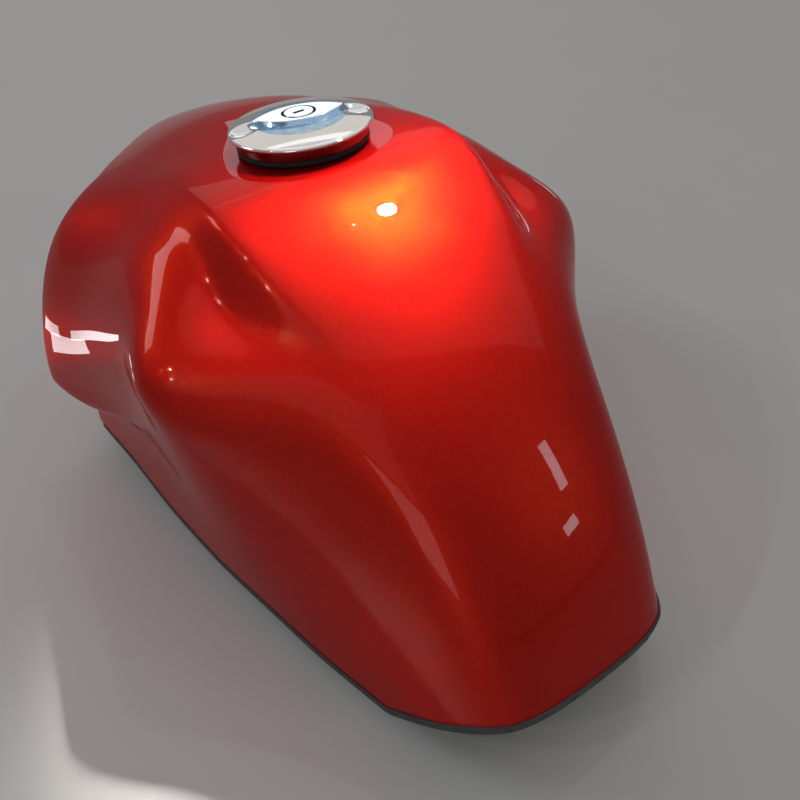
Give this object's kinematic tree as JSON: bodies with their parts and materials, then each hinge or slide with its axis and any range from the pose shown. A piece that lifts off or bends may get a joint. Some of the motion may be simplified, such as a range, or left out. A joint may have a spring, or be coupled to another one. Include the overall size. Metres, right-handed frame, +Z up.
{
  "type": "motorcycle fuel tank with filler cap",
  "caption": "Steel motorcycle fuel tank with flared shoulders, knee recesses, frame tunnel, rubber-mounted fixings and a round key-lock filler cap that lifts off.",
  "frame": {"origin": "centre of the bolt hole in the rear mounting eye, on the middle plane", "axes": "+X forward, +Y to the rider's left, +Z up, held as on the upright motorcycle"},
  "size_m": [0.5124, 0.372, 0.2941],
  "materials": {
    "tank_paint": "candy red over a bright metallic base, under high-gloss clear coat",
    "underside_paint": "satin black primer and underside paint",
    "zinc_steel": "zinc-plated steel",
    "rubber": "black moulded rubber",
    "pump_plastic": "black fuel-proof plastic",
    "cap_chrome": "polished chrome plate",
    "insert_plastic": "black moulded plastic"
  },
  "bodies": {
    "root": {"tank_skin": "tank_paint", "tank_floor": "underside_paint", "filler_ring": "zinc_steel", "filler_neck": "zinc_steel", "rear_bracket": "underside_paint", "rear_bush": "rubber", "rear_sleeve": "zinc_steel", "front_channel_left": "underside_paint", "front_channel_right": "underside_paint", "front_damper_left": "rubber", "front_damper_right": "rubber", "pump_flange": "pump_plastic", "pump_screws": "zinc_steel", "overflow_pipe": "zinc_steel", "breather_pipe": "zinc_steel"},
    "cap": {"cap_shell": "cap_chrome", "lock_barrel": "cap_chrome", "cap_insert": "insert_plastic", "cap_gasket": "rubber"}
  },
  "joints": [
    {"name": "cap_lift", "type": "slide", "parent": "root", "child": "cap", "axis": [0.1736, 0, 0.9848], "range_m": [0, 0.08]}
  ]
}
